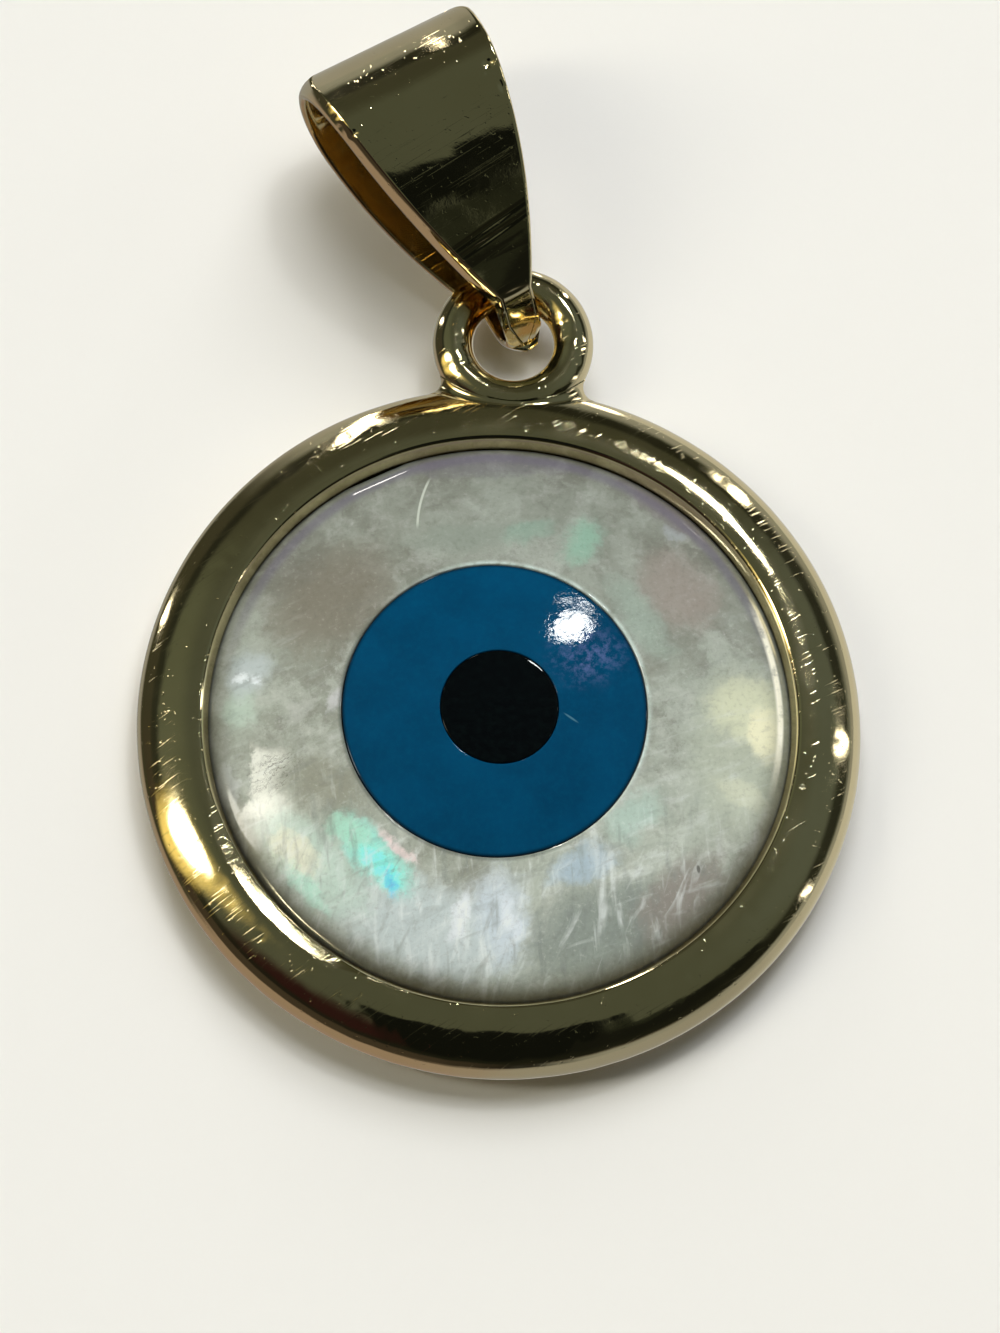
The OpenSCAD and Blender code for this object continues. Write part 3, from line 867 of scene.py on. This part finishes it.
def pearl_marks(f, colour, ways):
    """A dark speck at the lower right, and a fine pale scratch at the top, bent like a circle."""
    speck = f.ramp(f.far((4.16, -3.08), 0.2, (0.035, 0.075)), 1.4, 0.7, 0.0, 0.75)
    colour = f.mix(speck, colour, seen(80, 80, 74))
    off_circle = f.math("ABSOLUTE", f.math("SUBTRACT", f.far((1.1, 4.05), 0, (2.97, 2.97)), 1.0))
    ends = f.times(f.band(ways["Y"], 3.9, 4.15, 5.0, 5.25), f.ramp(ways["X"], 0.0, -1.0, 0.0, 0.6))
    return f.mix(f.times(f.ramp(off_circle, 0.012, 0.004), ends), colour, seen(216, 224, 212))


def shell_finish():
    """Mother-of-pearl under a clear polish, with painted shading that makes it darker at the top than at the
    bottom.
    """
    f = Finish("mother_of_pearl")
    true_place = f.place
    f.place = f.shaken(f.place, f.noise(PEARL_WOBBLE / MM, 6, 0.68, out="Color"), (PEARL_WOBBLE,) * 3)
    colour = painted_sheen_flake(f, pearl_patches(f, pearl_mottles(f)))
    f.place = true_place
    ways = f.axes(f.shift())
    colour, grain = pearl_fibres(f, colour, ways)
    # Painted shading: darker towards the top, brighter towards the bottom
    painted_shading = f.scaled(colour, f.ramp(ways["Y"], 5.5, -4.5, 0.60, 1.22))
    colour = pearl_edge(f, f.vector("MINIMUM", painted_shading, (0.97,) * 3), ways)
    colour = pearl_marks(f, pearl_beside_iris(f, colour, ways), ways)
    f.give(Base_Color=colour, Roughness=0.42, Specular_IOR_Level=0.25, Coat_Weight=1.0,
           Coat_Roughness=POLISH, Normal=f.bump(grain, 0.004, 0.4))
    return f.material


def polished_inlay(f, colour, depth):
    """A dull stone under a clear polish that is uneven to a given depth."""
    f.give(Base_Color=colour, Roughness=0.5, Specular_IOR_Level=0.02, Coat_Weight=1.0, Coat_Roughness=POLISH,
           Coat_IOR=INLAY_COAT, Coat_Normal=f.bump(f.noise(0.35, 4, 0.6), depth))
    return f.material


def iris_finish():
    """Blue inlay: slightly cloudy, with a darker outline, a painted violet glow round the lamp's
    reflection, broken up by noise, and a small light scratch near the pupil."""
    f = Finish("blue_inlay")
    blue = f.mix(f.ramp(f.noise(1.2, 5, 0.65), 0.3, 0.7), seen(0, 60, 94), seen(0, 69, 106))
    blue = f.mix(f.ramp(f.noise(0.12, 3, 0.7), 0.4, 0.75, 0.0, 0.2), blue, seen(4, 88, 124))
    # Painted glow: a violet speckle round the lamp's reflection on the iris
    painted_glow = f.spot((1.75, 1.25, 0), (1.15, 0.85, ANY_HEIGHT), 0.4, 0.7, 0.4, 0.9)
    broken_painted_light = f.times(painted_glow, f.ramp(f.noise(0.2, 5, 0.75), 0.42, 0.68, 0.0, 0.75))
    blue = f.mix(broken_painted_light, blue, seen(92, 108, 160))
    blue = f.mix(f.ramp(f.far((IRIS_X, 0)), IRIS_R - 0.10, IRIS_R - 0.01), blue, seen(0, 34, 54))
    scratch = f.ramp(f.far((1.43, -0.16), -0.55, (0.17, 0.022)), 1.3, 0.6, 0.0, 0.5)
    return polished_inlay(f, f.mix(scratch, blue, seen(96, 150, 168)), 0.003)


def pupil_finish():
    """Polished black inlay with a faint mottle."""
    f = Finish("black_inlay")
    black = f.mix(f.ramp(f.noise(0.14, 5, 0.7), 0.4, 0.75), seen(0, 2, 5), seen(4, 11, 13))
    return polished_inlay(f, black, 0.002)


gold_rim = gold_finish("gold_rim", 2.2, 0.001)
gold_bail = gold_finish("gold_bail", 1.6, 0.0008, haze=BAIL_HAZE)
# The loop's finish carries a painted reflection of the bail's golden back
gold_loop = gold_finish("gold_loop", 1.2, 0.001, painted_reflection=LOOP_PAINTED_REFLECTION)
# Painted shade: the bail's inside gets the deeper copy of the gold
shaded_gold_inside = gold_finish("gold_bail_inside_painted_shade", 1.6, 0.0015, SHADED_GOLD_INSIDE)
for piece, finish, slot, node in (
        (bezel_rim, gold_rim, "gold_plate", "bezel"), (loop, gold_loop, "gold_plate", None),
        (solder, gold_rim, "gold_plate", None),
        (shell, shell_finish(), "shell", "shell_disc"), (iris, iris_finish(), "blue_inlay", "iris"),
        (pupil, pupil_finish(), "black_inlay", "pupil"), (bail, gold_bail, "gold_plate", "bail")):
    piece.data.materials.append(finish)
    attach(piece, "root")
    if node:
        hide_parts(node)
# The bail's inside faces take the painted-shade copy of the gold
bail.data.materials.append(shaded_gold_inside)


def make_floor():
    """A plain pale floor, well past the view."""
    mesh = bpy.data.meshes.new("floor")
    corners = [(FLOOR_HALF * x, FLOOR_HALF * y, 0) for x, y in ((-1, -1), (1, -1), (1, 1), (-1, 1))]
    mesh.from_pydata(corners, [], [(0, 1, 2, 3)])
    floor = placed("floor", mesh)
    f = Finish("pale_floor")
    f.give(Base_Color=(0.86, 0.85, 0.83, 1), Roughness=0.7, Specular_IOR_Level=0.2)
    mesh.materials.append(f.material)
    floor.visible_glossy = False


def add_light(name, azimuth, polar, far, size, power):
    """A soft square light that faces the pendant, from a direction in degrees, at a distance in metres."""
    lamp = bpy.data.lights.new(name, "AREA")
    lamp.shape = "RECTANGLE"
    lamp.size = lamp.size_y = size
    lamp.energy = power
    thing = placed(name, lamp)
    a, p = np.radians(azimuth), np.radians(polar)
    way = Vector((np.cos(a) * np.sin(p), np.sin(a) * np.sin(p), np.cos(p)))
    thing.location = way * far
    thing.rotation_euler = way.to_track_quat("Z", "Y").to_euler()
    thing.visible_glossy = False


# What the polished metal mirrors, laid out flat: X and Y are degrees away from straight up, X towards the
# viewer's right and Y towards the loop. Each patch has its middle, half sizes, turn, soft share and colour,
# and covers those before it.
CEILING = (0.072, 0.082, 0.062)
CEILING_PATCHES = [
    ("dim ceiling", (0, 48), (46, 22), 0, 0.7, (0.047, 0.050, 0.034)),
    ("paler ceiling, right", (44, 18), (26, 30), 0, 0.8, (0.088, 0.104, 0.088)),
    ("paler ceiling, left", (-44, 14), (28, 26), 0, 0.8, (0.096, 0.110, 0.078)),
]
NEAR_PATCHES = [
    ("viewer's dark outline", (2, -72), (40, 53), 0, 0.10, (0.006, 0.007, 0.005)),
    ("viewer's shoulder", (44, -48), (34, 30), 25, 0.25, (0.008, 0.009, 0.007)),
    ("dull gleam in it", (-22, -33), (6, 4), 60, 0.8, (0.06, 0.065, 0.05)),
    ("sleeve", (25.2, -27), (6, 8.5), 20, 0.3, (0.016, 0.019, 0.013)),
    ("dark red cloth", (-50, -52), (36, 25), 35, 0.5, (0.024, 0.009, 0.009)),
    ("brown cloth", (48, -62), (30, 9), 30, 0.6, (0.10, 0.09, 0.075)),
]
# A dark slab over the viewer, and the ceiling that shows past a corner beside it
SLAB_MIDDLE = (1.7, -37.6)
SLAB_HALF = (17.0, 23.2)
SLAB_TONE = (0.005, 0.006, 0.005)
CEILING_CORNER = (23.5, -30)
CORNER_TURN = 25
# Angles from straight up of a dark ring, a pale band above the horizon and the table, and their tones
RING = (54, 62, 70, 79)
RING_TONE = (0.012, 0.013, 0.009)
PALE_BAND = (72, 84)
PALE_TONE = (0.27, 0.28, 0.27)
HORIZON = (90, 96)
TABLE_TONE = (0.30, 0.30, 0.29)
SUNNY_SIDE, SUNNY_TONE = (0.77, 0.64, 0), (0.56, 0.56, 0.53)
SHADY_SIDE, SHADY_TONE = (-0.77, -0.64, 0), (0.31, 0.24, 0.20)
SHADY_WALL, SHADY_WALL_TONE = (66, 74, 97, 104), (0.05, 0.04, 0.03)
DIM_SIDE, DIM_WALL, DIM_TONE = (-0.94, 0.34, 0), (66, 74, 112, 126), (0.045, 0.045, 0.030)
# Lamps, each with a brightness as well
ROOM_LIGHTS = [
    ("window", (12.2, 29.1), (2.9, 1.9), 26, 0.3, (0.97, 1.0, 0.98), 62),
    ("window's left pane", (11.2, 33.0), (1.0, 0.5), 8, 0.4, (0.97, 1.0, 0.98), 36),
    ("window's right pane", (13.8, 32.6), (1.1, 0.6), -38, 0.4, (0.97, 1.0, 0.98), 46),
    ("warm lamp", (-46, -1), (17, 5.5), 12, 0.4, (1.0, 0.97, 0.86), 8),
    ("warm lamp's glow", (-62, -6), (34, 9), 10, 0.9, (1.0, 0.80, 0.28), 1.1),
    ("tall lamp", (-21.6, 73), (2.3, 16), 9, 0.35, (1.0, 0.97, 0.9), 22),
    ("slanted lamp", (38, 63), (2.4, 9.5), -38, 0.4, (1.0, 0.99, 0.92), 10),
    ("pale blind", (59, 21), (12, 1.8), 8, 0.5, (1.0, 1.0, 0.93), 6),
    ("thin lamp", (72, -13), (11, 1.1), -13, 0.5, (1.0, 0.99, 0.93), 4),
    ("far lamp", (-77, 52), (13, 3.0), -35, 0.5, (1.0, 0.98, 0.9), 5),
    ("low lamp", (20, 97), (4, 9), 0, 0.6, (1.0, 1.0, 1.0), 3),
]
# How ragged the lamps' outlines are, in degrees
RAGGED = 2.4


def make_world():
    """The mirrored room. Each patch is an ellipse whose outline fades over its soft share."""
    world = bpy.data.worlds.new("studio")
    bpy.context.scene.world = world
    r = Finish("room_nodes", world)
    way = r.axes(r.node("ShaderNodeTexCoord").outputs["Generated"])
    polar = r.times(r.math("ARCCOSINE", way["Z"]), np.degrees(1))
    level = r.vector("NORMALIZE", r.node("ShaderNodeCombineXYZ", X=way["X"], Y=way["Y"]).outputs[0])
    flat = r.scaled(level, polar)
    ragged = r.noise(0.45, 3, 0.6, vector=flat, out="Color")
    ragged = r.shaken(flat, ragged, (RAGGED, RAGGED, 0))

    def laid(middle, half=(1, 1), turn=0, over=flat):
        return r.within(over, (*middle, 0), np.radians(turn), (*half, 1))

    def patch(middle, half, turn, soft, over=flat):
        return r.ramp(r.length(laid(middle, half, turn, over)), 1.0 + soft / 2, 1.0 - soft / 2)

    def towards(side, low, high):
        return r.ramp(r.vector("DOT_PRODUCT", level, side, out="Value"), low, high)

    colour = CEILING
    for _, *where, tone in CEILING_PATCHES:
        colour = r.mix(patch(*where), colour, tone)
    plain_ceiling = colour
    for _, *where, tone in NEAR_PATCHES:
        colour = r.mix(patch(*where), colour, tone)
    slab = r.axes(r.vector("ABSOLUTE", laid(SLAB_MIDDLE, SLAB_HALF)))
    colour = r.mix(r.ramp(r.math("SMOOTH_MAX", slab["X"], slab["Y"]), 1.03, 0.97), colour, SLAB_TONE)
    corner = r.axes(laid(CEILING_CORNER, turn=CORNER_TURN))
    past_corner = r.times(r.ramp(corner["X"], -0.8, 0.8), r.ramp(corner["Y"], -0.8, 0.8))
    colour = r.mix(past_corner, colour, plain_ceiling)
    colour = r.mix(r.times(r.band(polar, *RING), 0.85), colour, RING_TONE)
    away = r.ramp(r.length(laid((-0.45, -1), over=level)), 0.55, 0.95)
    colour = r.mix(r.times(r.ramp(polar, *PALE_BAND), away), colour, PALE_TONE)
    shady = towards(SHADY_SIDE, 0.4, 0.9)
    table = r.mix(towards(SUNNY_SIDE, 0.2, 1.0), TABLE_TONE, SUNNY_TONE)
    table = r.mix(shady, table, SHADY_TONE)
    colour = r.mix(r.ramp(polar, *HORIZON), colour, table)
    colour = r.mix(r.times(towards(DIM_SIDE, 0.66, 0.84), r.band(polar, *DIM_WALL)), colour, DIM_TONE)
    colour = r.mix(r.times(shady, r.band(polar, *SHADY_WALL)), colour, SHADY_WALL_TONE)
    for _, *where, tone, power in ROOM_LIGHTS:
        lamp = r.mix(patch(*where, ragged), (0, 0, 0), [power * c for c in tone])
        colour = r.mix(1.0, colour, lamp, "ADD")
    r.set(world.node_tree.nodes["Background"].inputs["Color"], colour)


# The photograph's camera: angles in degrees, distance from the bezel's back in metres, focal length in the
# photograph's pixels, and the pixel where the origin shows there
CAMERA_TILT, CAMERA_YAW, CAMERA_ROLL = 17.99, -4.54, 2.01
CAMERA_FAR = 0.160
FOCAL = 48.12 * CAMERA_FAR / MM
PHOTO_W, PHOTO_H = 1000, 1333
ORIGIN_SEEN = (498.0, 739.8)
SENSOR = 36


def make_camera():
    """The photograph's camera, aimed so that the origin shows where it does in the photograph."""
    tilt, yaw, roll = np.radians([CAMERA_TILT, CAMERA_YAW, CAMERA_ROLL])
    view = np.array([np.sin(tilt) * np.sin(yaw), -np.sin(tilt) * np.cos(yaw), np.cos(tilt)])
    right = np.cross([0, 1, 0], view)
    right /= np.linalg.norm(right)
    up = np.cross(view, right)
    right, up = np.cos(roll) * right + np.sin(roll) * up, np.cos(roll) * up - np.sin(roll) * right
    aside, above = PHOTO_W / 2 - ORIGIN_SEEN[0], ORIGIN_SEEN[1] - PHOTO_H / 2
    ahead = -view + right * aside / FOCAL + up * above / FOCAL
    ahead /= np.linalg.norm(ahead)
    right -= ahead * (right @ ahead)
    right /= np.linalg.norm(right)
    up = np.cross(right, ahead)
    lens = bpy.data.cameras.new("camera")
    lens.sensor_width = SENSOR
    lens.lens = FOCAL / PHOTO_H * SENSOR
    lens.clip_start, lens.clip_end = 0.005, 10
    axes = np.stack([right, up, -ahead, view * CAMERA_FAR], 1)
    bpy.context.scene.camera = placed("camera", lens)
    bpy.context.scene.camera.matrix_world = Matrix([*axes.tolist(), [0, 0, 0, 1]])


make_floor()
make_world()
add_light("soft_top", 80, 36, 0.9, 0.7, 7.6)
bpy.context.scene.view_settings.view_transform = "Standard"
make_camera()
